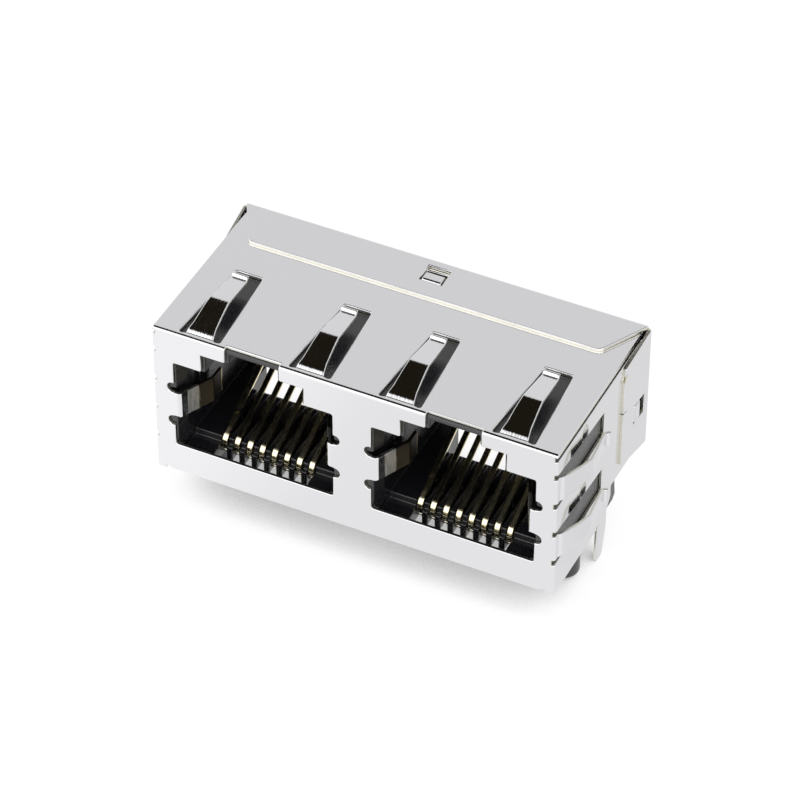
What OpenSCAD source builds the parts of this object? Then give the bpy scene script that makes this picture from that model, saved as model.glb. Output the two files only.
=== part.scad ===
// Shielded two-port modular jack for a circuit board.
// X runs across the ports, Y from the mating face to the rear, Z up from the board.
// The origin is on the board, midway between the locating posts.

/* [Shell] */
// Width across the side plates
shell_w = 32; // [31:0.1:36]
// Height of the top plate above the board
shell_top = 13.45; // [13.2:0.05:16]
// Depth of the top and side plates behind the mating face
shell_d = 15.1; // [14.6:0.1:20]
// Clearance between the board and the lower edges of the shell
shell_lift = 0.1; // [0.05:0.01:0.25]
// Thickness of the sheet metal
sheet = 0.25; // [0.2:0.01:0.28]
// Outside radius of the folds
fold_r = 0.3; // [0.3:0.02:0.46]
// Open seam between the top plate and each side plate
seam = 0.4; // [0.2:0.05:0.5]
// Length of the flap folded under the mating face
flap_l = 2.3; // [1.6:0.1:2.4]
// Distance of that flap's ends from the side plates
flap_margin = 1.1; // [0.9:0.05:1.6]
// Width of the reliefs at the ends of that flap
flap_relief = 0.35; // [0.2:0.05:0.4]

/* [Port openings] */
// Distance between the two port centres
port_pitch = 15.88; // [15.6:0.01:18]
// Width of the opening for the plug's body
body_w = 12.8; // [12.4:0.1:13]
// Height of the opening's lower edge above the board
body_z0 = 2.8; // [2.7:0.05:3]
// Height of the shoulders beside the latch
shoulder_z = 10.55; // [10.4:0.05:10.8]
// Width of the step above the shoulders
step_w = 8.2; // [7.8:0.1:8.6]
// Height of that step's upper edge
step_z = 12.1; // [11.8:0.05:12.3]
// Width of the latch notch, which opens into the top fold
latch_w = 4.3; // [4:0.1:5]
// Depth of that notch in the top plate
latch_d = 0.45; // [0.3:0.05:0.6]
// Corner radius of the openings
open_r = 0.15; // [0.1:0.05:0.4]

/* [Ground tabs] */
// Height of each tab's middle above the board
tab_z = 6.6; // [6.3:0.1:6.8]
// Width of a tab, measured up the opening's side
tab_w = 2.2; // [1.8:0.1:2.4]
// Height of the relief slots above and below a tab
tab_slot_h = 0.85; // [0.6:0.05:1]
// Reach of the relief slots past the opening's side
tab_slot_d = 0.55; // [0.4:0.05:0.7]
// Angle that a tab turns back from the mating face
tab_turn = 64.5; // [60:0.5:68]
// Straight length of a tab behind its bend
tab_l = 2.75; // [2:0.05:3]
// Length of the contact lip at a tab's tip
lip_l = 1.15; // [0.8:0.05:1.4]

/* [Spring fingers] */
// Distance of each top finger from its port's centre
finger_x = 4.4; // [4.2:0.1:4.6]
// Heights of the side fingers above the board
finger_z = [4.55, 9.95];
// Width of a finger at its root
finger_w0 = 2.3; // [2:0.05:2.4]
// Width of a finger at its tip
finger_w1 = 1.16; // [1:0.02:1.5]
// Side gap between a finger and its slot
finger_gap = 0.5; // [0.3:0.05:0.6]
// Distance of the slots' front ends behind the mating face
slot_y0 = 0.48; // [0.46:0.02:0.8]
// Distance of the slots' rear ends behind the mating face
slot_y1 = 8.3; // [8:0.1:9]
// Width of a finger at its crest
finger_wc = 1.56; // [1.4:0.02:1.8]
// Angle at which a finger leaves its plate
root_angle = 38; // [30:1:42]
// Angle of a finger's rise behind its root
rise_angle = 20; // [17:0.5:22]
// Straight length of the rise
rise_l = 1.7; // [1.4:0.1:1.8]
// Radius of the bow between the rise and the crest
bow_r = 5; // [4:0.5:8]
// Radius of the crest
crest_r = 0.8; // [0.5:0.1:1.5]
// Angle at which a finger falls behind its crest
fall_angle = 6.5; // [5:0.5:9]
// Straight length of the fall
fall_l = 2.75; // [2.4:0.05:2.9]
// Length of the turned-up tip
tip_l = 0.28; // [0.15:0.01:0.4]

/* [Rear cover] */
// Gap between the front shell's plates and the rear cover's back plate
cover_gap_y = 0.15; // [0.1:0.05:0.3]
// Gap between the top plate and the cover's top flap
cover_gap_z = 0.05; // [0.02:0.01:0.1]
// Gap between each side plate and the cover's side flap
cover_gap_x = 0.2; // [0.1:0.05:0.25]
// Length of the top flap, measured from the rear face
top_flap_l = 4.05; // [3.8:0.05:5]
// Width of the top flap along its front edge
top_flap_w = 28.2; // [26:0.1:29]
// Drop of each side flap's ends from the rear fold to its front edge
side_flap_drop = 0.7; // [0.3:0.05:1.2]
// Length of the side flaps, measured from the rear face
side_flap_l = 4.25; // [4:0.05:5]
// Clearance between the front shell and the front edge of a side flap, which leans in
cover_tip_gap = 0.05; // [0.03:0.01:0.1]
// Height of the cover's lower edge above the board
cover_z0 = 2.85; // [2.6:0.05:3.2]
// Size of the square latch windows
window = 1.75; // [1.6:0.05:1.9]
// Distance of the windows' middles from the cover's rear face
window_y = 1.7; // [1.6:0.05:1.9]
// Height of the side windows' middles above the board
window_z = 7.1; // [6.5:0.1:8]
// Height that the latch tangs stand out of their windows
tang_proud = 0; // [-0.05:0.01:0.1]

/* [Ground pins] */
// Distance of each pin's root behind the mating face
pin_y = 8.7; // [8.6:0.05:9]
// Distance that a pin's tip leans forward
pin_lean = 0.38; // [0:0.02:0.4]
// Width of a pin at its root
pin_w = 1.5; // [1.3:0.05:1.6]
// Width of a pin near its end
pin_tip_w = 1.05; // [0.8:0.05:1.2]
// Reach of the ground pins and the posts below the board
tail_l = 3.2; // [2.6:0.1:4]
// Height of the side plates' lower edge behind the pins
rear_notch_z = 2.5; // [2.2:0.05:2.9]

/* [Housing] */
// Clearance between the housing and the shell
fit = 0.05; // [0.03:0.01:0.1]
// Width of the cavity for the plug's body
cavity_w = 11.95; // [11.8:0.05:12.2]
// Height of the cavity's floor
floor_z = 2.75; // [2.7:0.01:2.9]
// Height of the cavity's ceiling
ceiling_z = 10.35; // [10.2:0.05:10.4]
// Height of the ceiling over the latch
latch_z = 12.75; // [12.4:0.05:12.8]
// Distance of the cavity's rear wall behind the mating face
cavity_d = 11.5; // [11.3:0.1:12.5]
// Distance of the floor's rear edge behind the mating face
floor_d = 8; // [7.6:0.1:8.4]
// Depth of the housing's lower part behind the mating face
foot_d = 10.9; // [10.6:0.1:12]
// Depth of the feet at the housing's ends, and their width
end_foot_d = 11.7; // [11:0.1:12]
end_foot_w = 1.6; // [1.2:0.1:1.8]
// Height of the open space behind the lower part
rear_open_z = 4.4; // [4:0.1:5]
// Distance of the locating posts on each side of the middle
post_x = 14.2; // [14:0.05:14.3]
// Distance of the locating posts behind the mating face
post_y = 6; // [5.8:0.05:6.4]
// Radius of the locating posts
post_r = 1.2; // [1:0.05:1.3]
// Height of the front ledge below the cavity's floor
ledge_drop = 0.55; // [0.3:0.05:0.7]
// Distance of the ledge's rear edge behind the mating face
ledge_y = 2.3; // [2.2:0.05:2.5]
// Distance of the comb ribs' front ends behind the mating face
rib_y0 = 1.9; // [1.8:0.05:2.1]
// Distance at which the slots between the ribs close at the bottom
slot_end = 2.75; // [2.5:0.05:3]
// Height of the comb ribs' underside above the board
rib_z0 = 0.9; // [0.6:0.05:1]

/* [Contacts] */
// Distance between neighbouring contacts
pitch = 1.016; // [1:0.001:1.03]
// Width of a contact
wire_w = 0.46; // [0.4:0.01:0.5]
// Thickness of a contact
wire_t = 0.3; // [0.25:0.01:0.32]
// Middle radius of the bend at a contact's front
bend_r = 0.79; // [0.7:0.01:0.82]
// Distance of that bend's middle behind the mating face
bend_y = 3.03; // [2.97:0.01:3.1]
// Height of the contacts' lower legs above the board
leg_z = 1.32; // [1.25:0.01:1.4]
// Slope of the contacts' spring arms
arm_angle = 24.3; // [23:0.1:24.5]
// Straight length of the spring arms
arm_l = 9.1; // [8.6:0.1:9.2]
// Reach of the contact tails below the board
contact_tail_l = 2.7; // [2.4:0.1:3.2]
// Distance of the front row of tails behind the mating face
tail_y = 6.35; // [6:0.05:6.6]
// Distance between the two rows of tails
tail_row = 2.54; // [2:0.02:2.54]

/* [Hidden] */
ports = 2;
ways = 8;
$fn = 48;
over = 1;
port_x = [for (p = [0:ports - 1]) (p - (ports - 1) / 2) * port_pitch];
side_top = shell_top - sheet - seam;
side_flap_lean = asin((cover_gap_x - cover_tip_gap) / (side_flap_l - fold_r));
side_gap = cover_gap_x - (window_y - fold_r) * tan(side_flap_lean);
flat_w = shell_w - 2 * fold_r;
flap_w = shell_w - 2 * flap_margin;
cover_w = shell_w + 2 * (cover_gap_x + sheet);
cover_top = shell_top + cover_gap_z + sheet;
cover_d = shell_d + cover_gap_y + sheet;
cover_flat_w = cover_w - 2 * fold_r;
window_at = cover_d - window_y;
inner_w = shell_w - 2 * (sheet + fit);
inner_top = shell_top - sheet - fit;
inner_y0 = sheet + fit;
edge = fold_r - sheet;
under_z = shell_lift + sheet + fit;
under_d = flap_l + 3 * fit;
row_w = (ways - 1) * pitch;
groove_w = wire_w + 0.06;
comb_y0 = cavity_d - 1.9;
comb_top = 7.6;
stop_z = 6.95;
insert_w = row_w + 1.8;
insert_y0 = slot_end + 1;
insert_y1 = tail_y + tail_row + 0.4;
insert_top = leg_z + wire_t / 2;
wire_gap = 0.02;

// Frames [x, y, heading] along a path of [straight, bend radius, turn] steps
function walk(steps, i = 0, p = [0, 0], a = 0) =
    i == len(steps) ? [[p.x, p.y, a]] :
    let (s = steps[i],
         n = ceil(abs(s[2]) / 7.5),
         r = s[1] * sign(s[2]),
         q = p + s[0] * [cos(a), sin(a)],
         c = q + r * [-sin(a), cos(a)])
    concat([[p.x, p.y, a]],
           [for (k = [0:1:n - 1]) let (b = a + s[2] * k / n) [c.x + r * sin(b), c.y - r * cos(b), b]],
           walk(steps, i + 1, n == 0 ? q : c + r * [sin(a + s[2]), -cos(a + s[2])], a + s[2]));

// Section of a strip of thickness t that is bent along such a path
module strip(steps, t) {
    path = walk(steps);
    left = [for (f = path) [f.x - t / 2 * sin(f.z), f.y + t / 2 * cos(f.z)]];
    right = [for (f = path) [f.x + t / 2 * sin(f.z), f.y - t / 2 * cos(f.z)]];
    polygon(concat(left, [for (k = [len(path) - 1:-1:0]) right[k]]));
}

// Points that round the corner b between a and c with radius r
function corner(a, b, c, r, n = 4) =
    let (u = (a - b) / norm(a - b),
         v = (c - b) / norm(c - b),
         half = acos(u * v) / 2,
         o = b + (u + v) / norm(u + v) * r / sin(half),
         s = b + u * r / tan(half) - o,
         e = b + v * r / tan(half) - o,
         a0 = atan2(s.y, s.x),
         turn = (atan2(e.y, e.x) - a0 + 540) % 360 - 180)
    [for (k = [0:n]) o + r * [cos(a0 + turn * k / n), sin(a0 + turn * k / n)]];

// Outline through the corners [x, y, radius]
function rounded(pts) =
    let (n = len(pts), xy = [for (p = pts) [p.x, p.y]])
    [for (i = [0:n - 1])
        each pts[i].z == 0 ? [xy[i]] : corner(xy[(i + n - 1) % n], xy[i], xy[(i + 1) % n], pts[i].z)];

// Extrudes a section drawn in Y and Z by w, about the middle plane
module across(w) {
    translate([-w / 2, 0, 0]) rotate([90, 0, 90]) linear_extrude(w) children();
}

// Extrudes a section drawn in X and Z from y0 to y1
module deep(y0, y1) {
    translate([0, y1, 0]) rotate([90, 0, 0]) linear_extrude(y1 - y0) children();
}

// Solid section of a channel: w across, d deep, with both front corners rounded
module channel_block(w, d, r) {
    translate([-w / 2, r]) square([w, d - r]);
    translate([-w / 2 + r, 0]) square([w - 2 * r, d]);
    for (s = [-1, 1]) translate([s * (w / 2 - r), r]) circle(r);
}

// Section of a sheet folded back at both ends into a channel
module channel(w, d) {
    difference() {
        channel_block(w, d, fold_r);
        translate([0, sheet]) channel_block(w - 2 * sheet, d, fold_r - sheet);
    }
}

// The same section stood up: z0 to z1 high, d deep, kept between the heights low and high
module upright_channel(z0, z1, d, low, high) {
    intersection() {
        translate([0, (z0 + z1) / 2]) mirror([1, -1]) channel(z1 - z0, d);
        translate([-over, low]) square([d + 2 * over, high - low]);
    }
}

// Places something drawn upwards from Z = 0 on the outside of both side plates
module on_sides(z) {
    for (s = [-1, 1]) translate([s * shell_w / 2, 0, z]) rotate([0, s * 90, 0]) children();
}

// Places something drawn upwards from Z = 0 on the top plate, twice over each port
module on_top() {
    for (x = port_x, s = [-1, 1]) translate([x + s * finger_x, 0, shell_top]) children();
}

// Plan of the slot around a finger
module slot_plan(y0) {
    w0 = finger_w0 / 2 + finger_gap;
    w1 = finger_w1 / 2 + finger_gap;
    r = finger_gap / 3;
    polygon(rounded([[-w0, y0, r], [w0, y0, r], [w1, slot_y1, r], [-w1, slot_y1, r]]));
}

// Plan of a finger, which narrows to its crest and then less to its tip
module finger_plan(y0) {
    crest_y = slot_y0 + 3.3;
    polygon([[-finger_w0 / 2, y0], [finger_w0 / 2, y0], [finger_w0 / 2 - 0.2, y0 + 1],
             [finger_wc / 2, crest_y],
             [finger_w1 / 2, slot_y1], [-finger_w1 / 2, slot_y1], [-finger_wc / 2, crest_y],
             [0.2 - finger_w0 / 2, y0 + 1]]);
}

// Slot around a finger, from y0 to the slot's rear end, just through the sheet
module finger_slot(y0) {
    depth = sheet + fit;
    difference() {
        translate([0, 0, -depth]) linear_extrude(depth + over) slot_plan(y0);
        translate([-finger_w0 / 2, y0 - over, -depth - over])
            cube([finger_w0, slot_y0 - y0 + over, depth + 3 * over]);
    }
}

// Spring finger: it rises to a crest, falls and ends in a turned-up tip
module finger() {
    root = 0.1;
    bow = rise_angle / 3;
    intersection() {
        translate([0, 0, -over]) linear_extrude(4 * over) finger_plan(slot_y0 - root);
        across(2 * finger_w0)
            translate([slot_y0 - root, -sheet / 2])
                strip([[root, 0.25, root_angle],
                       [0.2, 0.5, rise_angle - root_angle],
                       [rise_l, bow_r, -bow],
                       [0.5, crest_r, bow - rise_angle - fall_angle],
                       [fall_l, 0.25, 60],
                       [tip_l, 0, 0]], sheet);
    }
}

// Latch tang: cut from its plate on three sides, stepped up through a window and level with the cover
module tang(gap) {
    step_angle = 70;
    r = 0.15;
    rise = gap + sheet + tang_proud;
    ramp = (rise - 2 * r * (1 - cos(step_angle))) / sin(step_angle);
    across(window - 0.2)
        translate([window_at - window / 2 - 0.1, -sheet / 2])
            strip([[0.1, r, step_angle],
                   [ramp, r, -step_angle],
                   [0.4 * window, 0, 0]], sheet);
}

// Cut that frees a tang from its plate and leaves it joined at the front
module tang_slot() {
    translate([0, 0, -sheet - over]) linear_extrude(sheet + 2 * over)
        translate([-window / 2, window_at - window / 2 - 0.05]) square([window, window - 0.2]);
}

// Ground tab at the right of an opening, turned back into the port and ended by a lip
module ground_tab() {
    root = 0.3;
    inset = 0.15;
    translate([body_w / 2 + root, sheet / 2, tab_z - tab_w / 2]) linear_extrude(tab_w)
        rotate(180)
            strip([[root + inset, 0.3, -tab_turn],
                   [tab_l, 0.4, tab_turn - 90],
                   [lip_l, 0, 0]], sheet);
}

// Section of a port's stepped opening, narrowed by side and lowered by drop, with corner radius r
module port_section(side, drop, latch_top, r) {
    b = body_w / 2 - side;
    s = step_w / 2 - side / 2;
    l = latch_w / 2 - side / 2;
    shoulder = shoulder_z - drop;
    step = step_z - drop;
    polygon(rounded([[-b, body_z0, r], [b, body_z0, r], [b, shoulder, r], [s, shoulder, r], [s, step, 0],
                     [l, step, r], [l, latch_top, 0], [-l, latch_top, 0], [-l, step, r],
                     [-s, step, 0], [-s, shoulder, r], [-b, shoulder, r]]));
}

// Opening of a port in the mating face, with the relief slots of its ground tabs
module port_opening() {
    reach = body_w / 2 + tab_slot_d - tab_slot_h / 2;
    translate([-latch_w / 2, -over, step_z]) cube([latch_w, over + latch_d, shell_top]);
    deep(-over, sheet + over) {
        port_section(0, 0, shell_top - sheet, open_r);
        for (s = [-1, 1], t = [-1, 1]) translate([0, tab_z + t * (tab_w + tab_slot_h + 0.1) / 2]) {
            translate([s * reach, 0]) circle(d = tab_slot_h);
            translate([s * reach / 2, 0]) square([reach, tab_slot_h], center = true);
        }
    }
}

// Outline of a side plate with its ground pin, drawn in Y and Z
module side_outline() {
    tip_y = pin_y - pin_lean;
    notch = 0.25;
    shoulder_y = pin_y + 1.4;
    polygon(rounded([[-over, shell_lift, 0],
                     [pin_y - pin_w / 2 - notch, shell_lift, 0],
                     [pin_y - pin_w / 2 - notch, shell_lift + notch, 0],
                     [pin_y - pin_w / 2, shell_lift + notch, 0],
                     [pin_y - pin_w / 2, 0, 0],
                     [tip_y - pin_tip_w / 2, -tail_l, 0.3],
                     [tip_y + pin_tip_w / 2, -tail_l, 0.3],
                     [pin_y + pin_w / 2, -pin_w / 2, 0],
                     [pin_y + pin_w / 2, shell_lift + 0.6, 0.2],
                     [shoulder_y, rear_notch_z - 0.9, 0.3],
                     [shoulder_y, rear_notch_z, 0],
                     [shell_d, rear_notch_z, 0.5],
                     [shell_d, side_top, 0.5],
                     [-over, side_top, 0]]));
}

// Folded sheet of the front shell, before its slots and springs
module front_sheet() {
    base = shell_lift + fold_r;
    difference() {
        intersection() {
            translate([0, 0, -tail_l]) linear_extrude(tail_l + shell_top) channel(shell_w, shell_d);
            across(shell_w + over) side_outline();
        }
        translate([-flap_w / 2 - flap_relief, -over, -over])
            cube([flap_w + 2 * flap_relief, 2 * over, base + over]);
    }
    across(flap_w) upright_channel(shell_lift, shell_top, flap_l, 0, base + sheet);
    across(flat_w) upright_channel(shell_lift, shell_top, shell_d, side_top - over, shell_top);
    across(shell_w - 0.1) upright_channel(shell_lift, shell_top, shell_d, shell_top - sheet, shell_top);
}

module front_shell() {
    color("silver") {
        difference() {
            front_sheet();
            for (x = port_x) translate([x, 0, 0]) port_opening();
            on_top() finger_slot(slot_y0);
            for (z = finger_z) on_sides(z) finger_slot(-over);
            translate([0, 0, shell_top]) tang_slot();
            on_sides(window_z) tang_slot();
        }
        on_top() finger();
        for (z = finger_z) on_sides(z) finger();
        for (x = port_x, s = [0, 1]) translate([x, 0, 0]) mirror([s, 0, 0]) ground_tab();
        translate([0, 0, shell_top]) tang(cover_gap_z);
        on_sides(window_z) tang(side_gap);
    }
}

// Outline of the cover's back plate and side flaps, drawn in Y and Z
module cover_outline() {
    fold_y = cover_d - fold_r;
    front_y = cover_d - side_flap_l;
    top = cover_top - fold_r;
    slit_z = (cover_z0 + top) / 2 + 0.3;
    difference() {
        polygon(rounded([[cover_d + over, cover_z0, 0],
                         [fold_y, cover_z0, 0],
                         [front_y, cover_z0 + side_flap_drop, 0.3],
                         [front_y, top - side_flap_drop - 1.3, 0],
                         [front_y + 0.4, top - side_flap_drop - 1.3, 0],
                         [front_y + 0.4, top - side_flap_drop - 0.6, 0],
                         [front_y, top - side_flap_drop - 0.6, 0],
                         [front_y, top - side_flap_drop, 0.2],
                         [fold_y, top, 0],
                         [cover_d + over, top, 0]]));
        translate([front_y - over, slit_z]) square([over + 0.5, 0.12]);
    }
}

// Plan of the cover's top flap
module top_flap_plan() {
    front_y = cover_d - top_flap_l;
    polygon(rounded([[-cover_flat_w / 2, cover_d + over, 0],
                     [-cover_flat_w / 2, cover_d - fold_r, 0],
                     [-top_flap_w / 2, front_y, 0.6],
                     [top_flap_w / 2, front_y, 0.6],
                     [cover_flat_w / 2, cover_d - fold_r, 0],
                     [cover_flat_w / 2, cover_d + over, 0]]));
}

module rear_cover() {
    color("silver") difference() {
        union() {
            intersection() {
                translate([0, cover_d - sheet / 2, 0]) linear_extrude(cover_top)
                    for (s = [0, 1]) mirror([s, 0])
                        strip([[cover_flat_w / 2, fold_r - sheet / 2, -90 - side_flap_lean],
                               [side_flap_l - fold_r, 0, 0]], sheet);
                across(cover_w + over) cover_outline();
            }
            intersection() {
                across(cover_flat_w) translate([cover_d, 0]) mirror([1, 0])
                    upright_channel(cover_z0 - over, cover_top, top_flap_l, cover_top - over, cover_top);
                linear_extrude(cover_top + over) top_flap_plan();
            }
        }
        translate([-window / 2, window_at - window / 2, cover_top - sheet - over])
            cube([window, window, sheet + 2 * over]);
        across(cover_w + over) translate([window_at, window_z]) square(window, center = true);
    }
}

// Locating post with a chamfered end
module post() {
    lead = 0.35;
    translate([0, 0, lead - tail_l]) cylinder(r = post_r, h = tail_l - lead + over / 2);
    translate([0, 0, -tail_l]) cylinder(r1 = post_r - lead, r2 = post_r, h = lead);
}

// Deeper foot at one end of the housing, with a sloped underside
module end_foot() {
    across(end_foot_w)
        polygon([[foot_d - 1.4, 0], [end_foot_d - 0.5, 0], [end_foot_d, 0.4], [foot_d + 0.3, rear_open_z],
                 [foot_d - 1.4, rear_open_z]]);
}

// Side profile of the housing, drawn in Y and Z
module housing_profile() {
    polygon([[inner_y0, under_z + edge], [inner_y0 + edge, under_z], [under_d, under_z], [under_d, 0],
             [foot_d - 1.4, 0], [foot_d, 0.9], [foot_d, rear_open_z], [shell_d, rear_open_z],
             [shell_d, inner_top], [inner_y0 + edge, inner_top], [inner_y0, inner_top - edge]]);
}

// Plan of the housing, with its front edges clear of the shell's folds
module housing_plan() {
    x = inner_w / 2;
    polygon([[-x, inner_y0 + edge], [edge - x, inner_y0], [x - edge, inner_y0], [x, inner_y0 + edge],
             [x, shell_d], [-x, shell_d]]);
}

// Everything that one port takes out of the housing, about the port's middle
module port_cavity() {
    half = cavity_w / 2;
    gap = (body_w - cavity_w) / 2;
    pocket = insert_w / 2 + fit;
    ledge_z = floor_z - ledge_drop;
    deep(inner_y0 - over, cavity_d) {
        port_section(gap, shoulder_z - ceiling_z, latch_z, 0);
        translate([-half, floor_z]) square([cavity_w, over]);
    }
    // Lead-in at the sides, and the ledge before the floor
    translate([0, 0, floor_z]) linear_extrude(ceiling_z - floor_z)
        polygon([[-half - gap, inner_y0 - over], [-half - gap, inner_y0], [-half, inner_y0 + 1],
                 [half, inner_y0 + 1], [half + gap, inner_y0], [half + gap, inner_y0 - over]]);
    across(cavity_w)
        polygon([[inner_y0 - over, ledge_z - 0.2], [inner_y0, ledge_z - 0.2], [inner_y0 + 1, ledge_z],
                 [ledge_y, ledge_z], [ledge_y, floor_z + over], [inner_y0 - over, floor_z + over]]);
    // Pockets for the ground tabs
    translate([-half - 0.75, inner_y0 - over, tab_z - tab_w / 2 - 0.2])
        cube([cavity_w + 1.5, over + 4.2, tab_w + 0.4]);
    // Recess under the comb, the insert's pocket and the open space behind it
    translate([-pocket, inner_y0 - over, -over])
        cube([2 * pocket, foot_d - inner_y0 + 2 * over, over + rib_z0]);
    translate([-pocket, insert_y0 - fit, 0]) cube([2 * pocket, foot_d - insert_y0 + over, insert_top + fit]);
    translate([-pocket, floor_d, 0]) cube([2 * pocket, foot_d - floor_d + over, rear_open_z]);
    // Slots of the contacts between the comb's ribs
    translate([-(row_w + groove_w) / 2, inner_y0 - over, -over])
        cube([row_w + groove_w, rib_y0 - inner_y0 + over, floor_z + 2 * over]);
    for (c = [0:ways - 1]) translate([c * pitch - row_w / 2 - groove_w / 2, 0, 0]) {
        translate([0, rib_y0 - over, 0]) cube([groove_w, slot_end - rib_y0 + over, floor_z + over]);
        translate([0, rib_y0, leg_z - wire_t]) cube([groove_w, foot_d - rib_y0, floor_z]);
    }
}

// Comb that keeps the contacts' free ends apart and stops them from above
module comb() {
    w = row_w + 1.6;
    difference() {
        translate([-w / 2, comb_y0, rear_open_z])
            cube([w, cavity_d - comb_y0 + over, comb_top - rear_open_z]);
        for (c = [0:ways - 1])
            translate([c * pitch - row_w / 2 - groove_w / 2, comb_y0 - over, rear_open_z - over])
                cube([groove_w, cavity_d - comb_y0 + over, stop_z - rear_open_z + over]);
    }
}

module housing() {
    color("#26262a") {
        difference() {
            intersection() {
                across(inner_w) housing_profile();
                linear_extrude(inner_top) housing_plan();
            }
            for (x = port_x) translate([x, 0, 0]) port_cavity();
        }
        for (s = [-1, 1]) translate([s * (inner_w - end_foot_w) / 2, 0, 0]) end_foot();
        for (x = port_x) translate([x, 0, 0]) comb();
        for (s = [-1, 1]) translate([s * post_x, post_y, 0]) post();
    }
}

// Path of a contact from its tail round the front bend to the free end of its arm
function contact_path(row) =
    let (tail_r = 0.35)
    [[leg_z + contact_tail_l - tail_r, tail_r, 90],
     [tail_y + row * tail_row - tail_r - bend_y, bend_r, arm_angle - 180],
     [arm_l, 0, 0]];

// Solid of contact number c of a port, widened by gap on every side
module contact_solid(c, gap) {
    row = c % 2;
    translate([c * pitch - row_w / 2, 0, 0]) across(wire_w + 2 * gap)
        translate([tail_y + row * tail_row, -contact_tail_l]) rotate(90)
            strip(contact_path(row), wire_t + 2 * gap);
}

module contact(c) {
    color("gold") contact_solid(c, 0);
}

// Insert that carries the eight contacts of one port
module insert() {
    color("#202024") difference() {
        translate([-insert_w / 2, insert_y0, fit]) cube([insert_w, insert_y1 - insert_y0, insert_top - fit]);
        for (c = [0:ways - 1]) {
            contact_solid(c, wire_gap);
            translate([c * pitch - row_w / 2 - wire_w / 2 - wire_gap, insert_y0 - over, leg_z])
                cube([wire_w + 2 * wire_gap,
                      tail_y + (c % 2) * tail_row + wire_t / 2 + wire_gap - insert_y0 + over,
                      over]);
        }
    }
}

// Moves a piece to the origin between the posts, and to the middle x of its port
module placed(x = 0) {
    translate([x, -post_y, 0]) children();
}

placed() front_shell();
placed() rear_cover();
placed() housing();
for (p = [1:ports]) placed(port_x[p - 1]) insert();
for (p = [1:ports], c = [1:ways])
    placed(port_x[p - 1]) contact(c - 1);
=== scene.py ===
from math import acos, cos, radians, sin

import bpy
from mathutils import Matrix, Vector
from mathutils.bvhtree import BVHTree


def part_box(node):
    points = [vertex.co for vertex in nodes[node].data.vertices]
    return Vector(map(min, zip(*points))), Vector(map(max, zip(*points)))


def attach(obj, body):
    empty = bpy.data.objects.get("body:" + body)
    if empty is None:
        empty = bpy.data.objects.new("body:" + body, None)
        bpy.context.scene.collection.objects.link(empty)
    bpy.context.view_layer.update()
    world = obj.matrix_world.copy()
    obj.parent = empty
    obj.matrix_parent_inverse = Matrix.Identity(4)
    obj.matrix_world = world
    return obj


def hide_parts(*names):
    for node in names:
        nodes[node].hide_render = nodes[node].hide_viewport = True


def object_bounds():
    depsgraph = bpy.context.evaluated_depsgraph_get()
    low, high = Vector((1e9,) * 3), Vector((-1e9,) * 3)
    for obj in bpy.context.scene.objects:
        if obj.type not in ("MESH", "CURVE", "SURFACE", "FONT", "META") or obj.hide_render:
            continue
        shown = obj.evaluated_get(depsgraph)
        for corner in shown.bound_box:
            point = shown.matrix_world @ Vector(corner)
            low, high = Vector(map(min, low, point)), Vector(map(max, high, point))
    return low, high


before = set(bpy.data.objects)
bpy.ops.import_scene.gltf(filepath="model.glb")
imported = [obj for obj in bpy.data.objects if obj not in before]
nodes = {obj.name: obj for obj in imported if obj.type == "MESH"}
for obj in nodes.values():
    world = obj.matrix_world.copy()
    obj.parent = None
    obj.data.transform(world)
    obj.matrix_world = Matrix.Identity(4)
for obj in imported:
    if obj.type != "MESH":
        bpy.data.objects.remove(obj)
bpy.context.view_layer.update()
mm = 0.001


# ---- camera ----
view = {
    "azimuth": 25.68,      # degrees, turned from the mating face towards the right side
    "elevation": 41.18,
    "roll": 0.2,
    "distance": 285.7,     # mm from the aim point
    "aim": (3.87, -6.0, 14.0),
    "lens": 183.6,         # mm
    "sensor": 36,          # mm
    "nearest": 10,         # mm, where the view starts
}


def addCamera():
    az, el = radians(view["azimuth"]), radians(view["elevation"])
    back = Vector((sin(az) * cos(el), -cos(az) * cos(el), sin(el)))
    right = Vector((cos(az), sin(az), 0))
    turn = Matrix((right, back.cross(right), back)).transposed()
    turn = turn @ Matrix.Rotation(radians(view["roll"]), 3, "Z")
    data = bpy.data.cameras.new("camera")
    data.lens = view["lens"]
    data.sensor_width = view["sensor"]
    data.clip_start = view["nearest"] * mm
    camera = bpy.data.objects.new("camera", data)
    place = (Vector(view["aim"]) + back * view["distance"]) * mm
    camera.matrix_world = Matrix.Translation(place) @ turn.to_4x4()
    bpy.context.scene.collection.objects.link(camera)
    bpy.context.scene.camera = camera


# ---- node helpers ----
def newMaterial(name):
    material = bpy.data.materials.new(name)
    material.use_nodes = True
    tree = material.node_tree
    return material, tree, tree.nodes["Principled BSDF"]


def addNode(tree, kind, inputs=None, **settings):
    node = tree.nodes.new(kind)
    for key, value in settings.items():
        setattr(node, key, value)
    for key, value in (inputs or {}).items():
        node.inputs[key].default_value = value
    return node


def newGroup(name, inputs, outputs):
    tree = bpy.data.node_groups.new(name, "ShaderNodeTree")
    for label, kind, value in inputs:
        socket = tree.interface.new_socket(label, in_out="INPUT", socket_type="NodeSocket" + kind)
        socket.default_value = value
    for label, kind in outputs:
        tree.interface.new_socket(label, in_out="OUTPUT", socket_type="NodeSocket" + kind)
    return tree, tree.nodes.new("NodeGroupInput"), tree.nodes.new("NodeGroupOutput")


def addGroup(tree, group, inputs):
    node = tree.nodes.new("ShaderNodeGroup")
    node.node_tree = group
    for key, value in inputs.items():
        node.inputs[key].default_value = value
    return node


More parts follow.
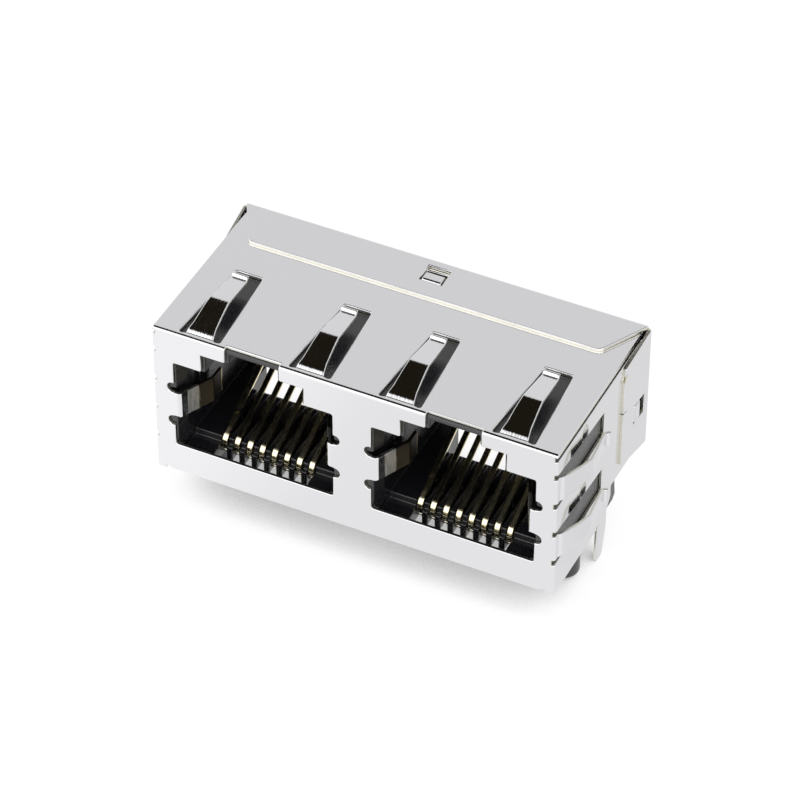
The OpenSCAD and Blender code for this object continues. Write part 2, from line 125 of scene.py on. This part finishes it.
def addMath(tree, operation, first, second):
    node = tree.nodes.new("ShaderNodeMath")
    node.operation = operation
    for socket, value in zip(node.inputs, (first, second)):
        if isinstance(value, (int, float)):
            socket.default_value = value
        else:
            tree.links.new(value, socket)
    return node.outputs[0]


# ---- studio ----
studio = {
    # brightness from the horizon, 0, to straight above, 1
    "towardsBack": [(0.0, 0.88), (0.42, 0.80), (0.62, 0.745), (0.74, 0.74), (0.8, 0.3), (0.83, 0)],
    "towardsFront": [(0.0, 0.95), (0.3, 1.2), (0.45, 1.6), (0.8, 1.6), (0.87, 0.3), (0.9, 0)],
    "overhead": (0.012, 0.0095, 0.006, 1),   # the dark ceiling, used where a stop says 0
    "blend": 0.15,            # how far the back and the front run into each other
}
ground = {
    "size": 3,                # m
    "color": (0.9, 0.9, 0.9, 1),
    "roughness": 0.8,
    "glow": 0.85,             # share of the floor that glows by itself
    "underneath": 0.42,       # how bright the painted shadow leaves the floor below the jack
    "open": 1.06,             # and away from it
    "cover": (0.15, 0.5),     # openness to the sky at those two
    "shadowReach": 12,        # mm
    "mirrored": (1.06, 0.93),   # painted reflection: brightness of the floor that metal mirrors, left to right
    "fall": (-16, -6),          # mm, where that falls
    "mirroredBehind": 0.86,     # share of it behind the jack, a painted shadow in the reflection
    "fallBehind": (-6.5, 1),    # mm
}


def addRamp(tree, stops):
    ramp = tree.nodes.new("ShaderNodeValToRGB")
    elements = ramp.color_ramp.elements
    while len(elements) < len(stops):
        elements.new(0.5)
    for element, (place, level) in zip(elements, stops):
        element.position = place
        element.color = (level, level, level, 1) if level > 0 else studio["overhead"]
    return ramp


def buildWorld():
    world = bpy.data.worlds.new("studio")
    bpy.context.scene.world = world
    world.use_nodes = True
    tree = world.node_tree
    links = tree.links
    where = tree.nodes.new("ShaderNodeTexCoord")
    split = tree.nodes.new("ShaderNodeSeparateXYZ")
    links.new(where.outputs["Generated"], split.inputs[0])
    back, front = addRamp(tree, studio["towardsBack"]), addRamp(tree, studio["towardsFront"])
    side = addNode(tree, "ShaderNodeMapRange", {"From Min": studio["blend"], "From Max": -studio["blend"]})
    around = addNode(tree, "ShaderNodeMix", data_type="RGBA")
    for ramp in (back, front):
        links.new(split.outputs["Z"], ramp.inputs[0])
    links.new(split.outputs["Y"], side.inputs["Value"])
    links.new(side.outputs[0], around.inputs["Factor"])
    links.new(back.outputs[0], around.inputs[6])
    links.new(front.outputs[0], around.inputs[7])
    path = tree.nodes.new("ShaderNodeLightPath")
    white = addNode(tree, "ShaderNodeMix", data_type="RGBA")
    white.inputs[7].default_value = (1, 1, 1, 1)
    plain = addMath(tree, "MAXIMUM", path.outputs["Is Camera Ray"], path.outputs["Is Diffuse Ray"])
    links.new(plain, white.inputs["Factor"])
    links.new(around.outputs[2], white.inputs[6])
    links.new(white.outputs[2], tree.nodes["Background"].inputs["Color"])


def buildFloor():
    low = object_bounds()[0]
    bpy.ops.object.select_all(action="DESELECT")
    bpy.ops.mesh.primitive_plane_add(size=ground["size"], location=(0, 0, low[2]))
    floor = bpy.context.object
    floor.name = "floor"
    material, tree, shader = newMaterial("floorWhite")
    links = tree.links
    shader.inputs["Base Color"].default_value = ground["color"]
    shader.inputs["Roughness"].default_value = ground["roughness"]
    # seen directly: white, with a painted shadow that greys the glow where the jack covers it; the diffuse
    # share keeps a real shadow too
    cover = addNode(tree, "ShaderNodeAmbientOcclusion", {"Distance": ground["shadowReach"] * mm})
    cover.samples = 8
    seen = addNode(tree, "ShaderNodeMapRange", {
        "From Min": ground["cover"][0], "From Max": ground["cover"][1],
        "To Min": ground["underneath"], "To Max": ground["open"]})
    links.new(cover.outputs["AO"], seen.inputs["Value"])
    # painted reflection: the floor that metal mirrors glows with a fall from left to right, and less behind
    # the jack, a painted shadow
    where = tree.nodes.new("ShaderNodeTexCoord")
    split = tree.nodes.new("ShaderNodeSeparateXYZ")
    links.new(where.outputs["Object"], split.inputs[0])
    across = addNode(tree, "ShaderNodeMapRange", {
        "From Min": ground["fall"][0] * mm, "From Max": ground["fall"][1] * mm,
        "To Min": ground["mirrored"][0], "To Max": ground["mirrored"][1]})
    behind = addNode(tree, "ShaderNodeMapRange", {
        "From Min": ground["fallBehind"][0] * mm, "From Max": ground["fallBehind"][1] * mm,
        "To Min": 1, "To Max": ground["mirroredBehind"]})
    links.new(split.outputs["X"], across.inputs["Value"])
    links.new(split.outputs["Y"], behind.inputs["Value"])
    path = tree.nodes.new("ShaderNodeLightPath")
    level = tree.nodes.new("ShaderNodeMix")
    links.new(path.outputs["Is Glossy Ray"], level.inputs["Factor"])
    links.new(seen.outputs[0], level.inputs[2])
    links.new(addMath(tree, "MULTIPLY", across.outputs[0], behind.outputs[0]), level.inputs[3])
    glow = tree.nodes.new("ShaderNodeEmission")
    links.new(level.outputs[0], glow.inputs["Strength"])
    mix = tree.nodes.new("ShaderNodeMixShader")
    share = addMath(tree, "MULTIPLY", path.outputs["Is Camera Ray"], ground["glow"])
    links.new(addMath(tree, "MAXIMUM", share, path.outputs["Is Glossy Ray"]), mix.inputs[0])
    links.new(shader.outputs[0], mix.inputs[1])
    links.new(glow.outputs[0], mix.inputs[2])
    links.new(mix.outputs[0], tree.nodes["Material Output"].inputs["Surface"])
    floor.data.materials.append(material)


# ---- surface effects ----
patterns = {
    # repeats a metre
    "fine": 14000,
    "lines": (9000, 1500, 1500),
    "wave": 160,
    "smudge": 420,
    "score": (9000, 9000, 900),
    "ragged": (9000, 2500, 700),
    # spreads of noise, and what they turn into
    "smudgeSpread": (0.3, 0.7, 0.8, 1.25),
    "mottleSpread": (0.4, 0.6, 0.35, 1),
}


def addSpread(tree, source, spread):
    labels = ("From Min", "From Max", "To Min", "To Max")
    node = addNode(tree, "ShaderNodeMapRange", dict(zip(labels, spread)))
    tree.links.new(source, node.inputs["Value"])
    return node.outputs[0]


def makeGrain():
    # fine grain, rolling lines and a slow unevenness, all on the piece's own coordinates
    inputs = [("Fine", "Float", 0.3), ("Lines", "Float", 0.3), ("Wave", "Float", 0.3),
              ("Roughness", "Float", 0.15)]
    group, given, out = newGroup("sheetGrain", inputs, [("Height", "Float"), ("Roughness", "Float")])
    where = group.nodes.new("ShaderNodeTexCoord")
    fine = addNode(group, "ShaderNodeTexNoise", {"Scale": patterns["fine"], "Detail": 2})
    stretch = addNode(group, "ShaderNodeMapping", {"Scale": patterns["lines"]})
    lines = addNode(group, "ShaderNodeTexNoise", {"Scale": 1, "Detail": 2})
    wave = addNode(group, "ShaderNodeTexNoise", {"Scale": patterns["wave"], "Detail": 1})
    smudge = addNode(group, "ShaderNodeTexNoise", {"Scale": patterns["smudge"], "Detail": 4})
    for node in (fine, stretch, wave, smudge):
        group.links.new(where.outputs["Object"], node.inputs["Vector"])
    group.links.new(stretch.outputs[0], lines.inputs["Vector"])
    height = addMath(group, "MULTIPLY", fine.outputs[0], given.outputs["Fine"])
    for node, label in ((lines, "Lines"), (wave, "Wave")):
        part = addMath(group, "MULTIPLY", node.outputs[0], given.outputs[label])
        height = addMath(group, "ADD", height, part)
    group.links.new(height, out.inputs["Height"])
    vary = addSpread(group, smudge.outputs[0], patterns["smudgeSpread"])
    roughness = addMath(group, "MULTIPLY", vary, given.outputs["Roughness"])
    group.links.new(roughness, out.inputs["Roughness"])
    return group


def makeBoxMask():
    # 1 inside a box in the piece's own coordinates, 0 outside it, with a ragged edge
    inputs = [("Low", "Vector", (0, 0, 0)), ("High", "Vector", (1, 1, 1)), ("Soft", "Float", 0.0001),
              ("Ragged", "Float", 0.0)]
    group, given, out = newGroup("boxMask", inputs, [("Mask", "Float")])
    where = group.nodes.new("ShaderNodeTexCoord")
    streaks = addNode(group, "ShaderNodeMapping", {"Scale": patterns["ragged"]})
    noise = addNode(group, "ShaderNodeTexNoise", {"Scale": 1, "Detail": 2})
    group.links.new(where.outputs["Object"], streaks.inputs["Vector"])
    group.links.new(streaks.outputs[0], noise.inputs["Vector"])
    uneven = addMath(group, "SUBTRACT", noise.outputs[0], 0.5)
    shift = addMath(group, "MULTIPLY", uneven, given.outputs["Ragged"])
    place, low, high = [group.nodes.new("ShaderNodeSeparateXYZ") for _ in range(3)]
    group.links.new(where.outputs["Object"], place.inputs[0])
    group.links.new(given.outputs["Low"], low.inputs[0])
    group.links.new(given.outputs["High"], high.inputs[0])
    mask = 1
    for axis in range(3):
        spot = addMath(group, "ADD", place.outputs[axis], shift)
        above = addMath(group, "SUBTRACT", spot, low.outputs[axis])
        below = addMath(group, "SUBTRACT", high.outputs[axis], spot)
        depth = addMath(group, "MINIMUM", above, below)
        share = group.nodes.new("ShaderNodeClamp")
        group.links.new(addMath(group, "DIVIDE", depth, given.outputs["Soft"]), share.inputs[0])
        mask = addMath(group, "MULTIPLY", share.outputs[0], mask)
    group.links.new(mask, out.inputs["Mask"])
    return group


def wireSurface(tree, shader, grain, relief):
    bump = addNode(tree, "ShaderNodeBump", {"Strength": 1, "Distance": relief * mm})
    tree.links.new(grain.outputs["Height"], bump.inputs["Height"])
    tree.links.new(bump.outputs[0], shader.inputs["Normal"])
    tree.links.new(grain.outputs["Roughness"], shader.inputs["Roughness"])


# ---- materials ----
# relief is the depth of the grain in mm
sheetMetal = {"color": (0.83, 0.83, 0.848, 1), "roughness": 0.07, "fine": 0.02, "lines": 2.5, "wave": 1.0,
              "relief": 0.004}
cutMetal = {"color": (0.82, 0.8, 0.7, 1), "roughness": 0.3, "fine": 1.0, "lines": 0.0, "wave": 0.0,
            "relief": 0.006}
gold = {"color": (1.0, 0.92, 0.66, 1), "roughness": 0.1, "fine": 0.2, "lines": 0.0, "wave": 0.0,
        "relief": 0.003}
plastic = {"color": (0.010, 0.0102, 0.0125, 1), "roughness": 0.26, "fine": 1.0, "lines": 0.0, "wave": 1.0,
           "relief": 0.012}
plasticShine = 0.9

# the ground tabs, in boxes in mm: dull and scored near their roots, with a painted streaky reflection there,
# then painted shade in dark brown on the tips, and a painted bronze highlight at their last bend
# the tab roots are dulled (roughness) and scored (bump); their mottled grey colour is a painted streaky
# reflection
scoredRootSheen = {"low": (-15, -5.35, 4.5), "high": (15, -4.25, 8.7), "soft": 0.08, "color": (0.5, 0.5, 0.49, 1)}
# painted shade: the tab tips are coloured dark brown, standing in for the dark inside of the port that they
# face
tipShade = {"low": (-15, -4.4, 4.5), "high": (15, -1.9, 8.7), "soft": 0.08, "color": (0.075, 0.062, 0.05, 1)}
# painted highlight: a bright bronze strip on the tabs' last bend
bendGlint = {"low": (-15, -2.05, 4.5), "high": (15, -1.87, 8.7), "soft": 0.03, "color": (1, 0.86, 0.58, 1)}
raggedness = 4         # times the soft edge of a box
tabRoughness = 0.4
scoreDepth = 0.012     # mm
flare = {
    # the side plates lean very slightly as they leave the front bends
    "plate": 16.0,       # mm from the middle to the outside of a side plate
    "play": 0.012,       # mm
    "end": -1.8,         # mm, where the plate is flat again
    "slope": 0.062,
}


def makeLook(name, look, metallic, grainGroup):
    material, tree, shader = newMaterial(name)
    shader.inputs["Base Color"].default_value = look["color"]
    shader.inputs["Metallic"].default_value = metallic
    grain = addGroup(tree, grainGroup, {"Fine": look["fine"], "Lines": look["lines"], "Wave": look["wave"],
                                        "Roughness": look["roughness"]})
    wireSurface(tree, shader, grain, look["relief"])
    return material, tree, shader, grain


def makeSheetMetal(name, look, grainGroup, boxMask):
    material, tree, shader, grain = makeLook(name, look, 1, grainGroup)
    links = tree.links
    root, brown, rim = [
        addGroup(tree, boxMask, {"Low": Vector(area["low"]) * mm, "High": Vector(area["high"]) * mm,
                                 "Soft": area["soft"] * mm, "Ragged": raggedness * area["soft"] * mm})
        for area in (scoredRootSheen, tipShade, bendGlint)]
    where = tree.nodes.new("ShaderNodeTexCoord")
    along = addNode(tree, "ShaderNodeMapping", {"Scale": patterns["score"]})
    streaks = addNode(tree, "ShaderNodeTexNoise", {"Scale": 1, "Detail": 3})
    links.new(where.outputs["Object"], along.inputs["Vector"])
    links.new(along.outputs[0], streaks.inputs["Vector"])
    # color, with the painted reflection, shade and highlight of the tabs, and roughness
    mottle = addSpread(tree, streaks.outputs[0], patterns["mottleSpread"])
    shares = (addMath(tree, "MULTIPLY", root.outputs[0], mottle), brown.outputs[0], rim.outputs[0])
    color = None
    for area, share in zip((scoredRootSheen, tipShade, bendGlint), shares):
        mix = addNode(tree, "ShaderNodeMix", data_type="RGBA")
        mix.inputs[6].default_value = look["color"]
        mix.inputs[7].default_value = area["color"]
        if color:
            links.new(color, mix.inputs[6])
        links.new(share, mix.inputs["Factor"])
        color = mix.outputs[2]
    links.new(color, shader.inputs["Base Color"])
    dull = addNode(tree, "ShaderNodeMix")
    dull.inputs[3].default_value = tabRoughness
    links.new(addMath(tree, "MAXIMUM", root.outputs[0], brown.outputs[0]), dull.inputs["Factor"])
    links.new(grain.outputs["Roughness"], dull.inputs[2])
    links.new(dull.outputs[0], shader.inputs["Roughness"])
    # the scored tab roots and the lean of the side plates
    scored = addNode(tree, "ShaderNodeBump", {"Distance": scoreDepth * mm})
    links.new(streaks.outputs[0], scored.inputs["Height"])
    links.new(root.outputs[0], scored.inputs["Strength"])
    links.new(shader.inputs["Normal"].links[0].from_socket, scored.inputs["Normal"])
    split = tree.nodes.new("ShaderNodeSeparateXYZ")
    links.new(where.outputs["Object"], split.inputs[0])
    reach = addMath(tree, "MINIMUM", split.outputs["Y"], flare["end"] * mm)
    rise = addMath(tree, "MULTIPLY", reach, flare["slope"] / mm)
    aside = addMath(tree, "ABSOLUTE", split.outputs["X"], 0)
    aside = addMath(tree, "ABSOLUTE", addMath(tree, "SUBTRACT", aside, flare["plate"] * mm), 0)
    onPlate = addMath(tree, "LESS_THAN", aside, flare["play"] * mm)
    flared = addNode(tree, "ShaderNodeBump", {"Distance": mm})
    links.new(rise, flared.inputs["Height"])
    links.new(onPlate, flared.inputs["Strength"])
    links.new(scored.outputs[0], flared.inputs["Normal"])
    links.new(flared.outputs[0], shader.inputs["Normal"])
    return material


def makePlastic(grainGroup):
    material, tree, shader, grain = makeLook("blackNylon", plastic, 0, grainGroup)
    shader.inputs["Specular IOR Level"].default_value = plasticShine
    return material


# ---- pieces ----
edges = {"front_shell": 0.11, "rear_cover": 0.08, "housing": 0.13, "insert": 0.05, "contact": 0.09}   # mm
sheetThickness = 0.25            # mm
flapPlay = 0.045                 # mm that the cover's flaps give at their front edges
sameSurface = cos(radians(20))   # faces that turn less than this belong to one surface
sharpEdge = cos(radians(25))     # edges that turn more than this are rounded
merging = 0.0002                 # mm
straying = 1.1                   # times the rounding, past which a vertex goes back onto the solid
outer, cutFace, inner = range(3)   # places of a sheet piece's materials


def treeOf(mesh):
    return BVHTree.FromPolygons([vertex.co for vertex in mesh.vertices],
                                [face.vertices for face in mesh.polygons])


def markCutFaces(piece):
    # a ray into the sheet leaves it after one thickness, unless it starts on a cut face
    mesh = piece.data
    middle = sum((Vector(corner) for corner in piece.bound_box), Vector()) / 8
    solid = treeOf(mesh)
    mesh.calc_loop_triangles()
    largest = {}
    for triangle in mesh.loop_triangles:
        best = largest.get(triangle.polygon_index)
        if best is None or triangle.area > best.area:
            largest[triangle.polygon_index] = triangle
    for face in mesh.polygons:
        start = largest[face.index].center - face.normal * 0.001 * mm
        depth = solid.ray_cast(start, -face.normal)[3]
        broad = depth is not None and depth < 1.2 * sheetThickness * mm
        side = outer if face.normal.dot(start - middle) > 0 else inner
        face.material_index = side if broad else cutFace
    # only the edges of the outside face are rolled over by the punch; the others stay sharp
    weights = mesh.attributes.new("bevel_weight_edge", "FLOAT", "EDGE")
    touching = {}
    for face in mesh.polygons:
        for key in face.edge_keys:
            touching.setdefault(key, []).append(face)
    for edge in mesh.edges:
        first, second = touching[tuple(sorted(edge.vertices))]
        sharp = first.normal.dot(second.normal) < sharpEdge
        rolled = sharp and outer in (first.material_index, second.material_index)
        weights.data[edge.index].value = 1 if rolled else 0


def pressFlaps(piece):
    # the cover's flaps spring against the shell at their front edges
    low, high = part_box("rear_cover")
    bend = high[1] - 2 * sheetThickness * mm
    for vertex in piece.data.vertices:
        spot = vertex.co
        lean = flapPlay * mm * max(0, bend - spot.y) / (bend - low[1])
        if spot.z > high[2] - 1.5 * sheetThickness * mm:
            spot.z -= lean
        elif abs(spot.x) > high[0] - 2 * sheetThickness * mm:
            spot.x -= lean if spot.x > 0 else -lean


def smoothNormals(piece, roundedSlot):
    # plates stay flat, bends follow their arc, and each broken edge turns from one face to the next
    mesh = piece.data
    plain, every = [[] for _ in mesh.vertices], [[] for _ in mesh.vertices]
    for face in mesh.polygons:
        for corner in face.vertices:
            every[corner].append(face)
            if face.material_index != roundedSlot:
                plain[corner].append(face)
    normals = []
    for face in mesh.polygons:
        rounded = face.material_index == roundedSlot
        for corner in face.vertices:
            near = plain[corner] or every[corner]
            own = face.normal
            if rounded and plain[corner]:
                own = max((other.normal for other in near), key=own.dot)
            alike = near
            if plain[corner] or not rounded:
                alike = [other for other in near if other.normal.dot(own) > sameSurface]
            normals.append(sum((other.normal * other.area for other in alike), Vector()).normalized())
    mesh.normals_split_custom_set(normals)


def roundEdges(name, width, materials):
    # a merged copy of the solid, with every sharp edge slightly broken
    bpy.ops.object.select_all(action="DESELECT")
    nodes[name].select_set(True)
    bpy.context.view_layer.objects.active = nodes[name]
    bpy.ops.object.duplicate()
    piece = bpy.context.object
    piece.name = name + "_rounded"
    for key in [key for key in piece.keys() if key.startswith("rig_")]:
        del piece[key]
    bpy.ops.object.mode_set(mode="EDIT")
    bpy.ops.mesh.select_all(action="SELECT")
    bpy.ops.mesh.remove_doubles(threshold=merging * mm)
    bpy.ops.mesh.dissolve_limited(angle_limit=radians(0.1))
    bpy.ops.object.mode_set(mode="OBJECT")
    piece.data.materials.clear()
    for material in materials + materials[:1]:
        piece.data.materials.append(material)
    if len(materials) > 1:
        markCutFaces(piece)
    if name == "rear_cover":
        pressFlaps(piece)
    solid = treeOf(piece.data)
    rounding = piece.modifiers.new("rounding", "BEVEL")
    rounding.width = width * mm
    rounding.segments = 2
    rounding.limit_method = "WEIGHT" if len(materials) > 1 else "ANGLE"
    rounding.angle_limit = acos(sharpEdge)
    rounding.use_clamp_overlap = False
    rounding.material = len(materials)
    bpy.ops.object.modifier_apply(modifier="rounding")
    for vertex in piece.data.vertices:
        spot, _, _, distance = solid.find_nearest(vertex.co)
        if distance > straying * width * mm:
            vertex.co = spot
    bpy.ops.object.shade_smooth()
    smoothNormals(piece, len(materials))
    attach(piece, "root")
    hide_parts(name)
    return piece


addCamera()
buildWorld()
buildFloor()
print("studio ready")

grainGroup = makeGrain()
boxMask = makeBoxMask()
metal = makeSheetMetal("tinPlate", sheetMetal, grainGroup, boxMask)
cut = makeSheetMetal("cutEdge", cutMetal, grainGroup, boxMask)
black = makePlastic(grainGroup)
gilt = makeLook("goldPlate", gold, 1, grainGroup)[0]
print("materials ready")

looks = {
    "front_shell": ([metal, cut, metal], "shell_metal"),
    "rear_cover": ([metal, cut, metal], "shell_metal"),
    "housing": ([black], "housing_plastic"),
    "insert": ([black], "insert_plastic"),
    "contact": ([gilt], "contact_metal"),
}
for name in list(nodes):
    kind = name.split("_")[0] if name[-1].isdigit() else name
    materials, slot = looks[kind]
    roundEdges(name, edges[kind], materials)
print("pieces ready")

scene = bpy.context.scene
scene.view_settings.view_transform = "Standard"
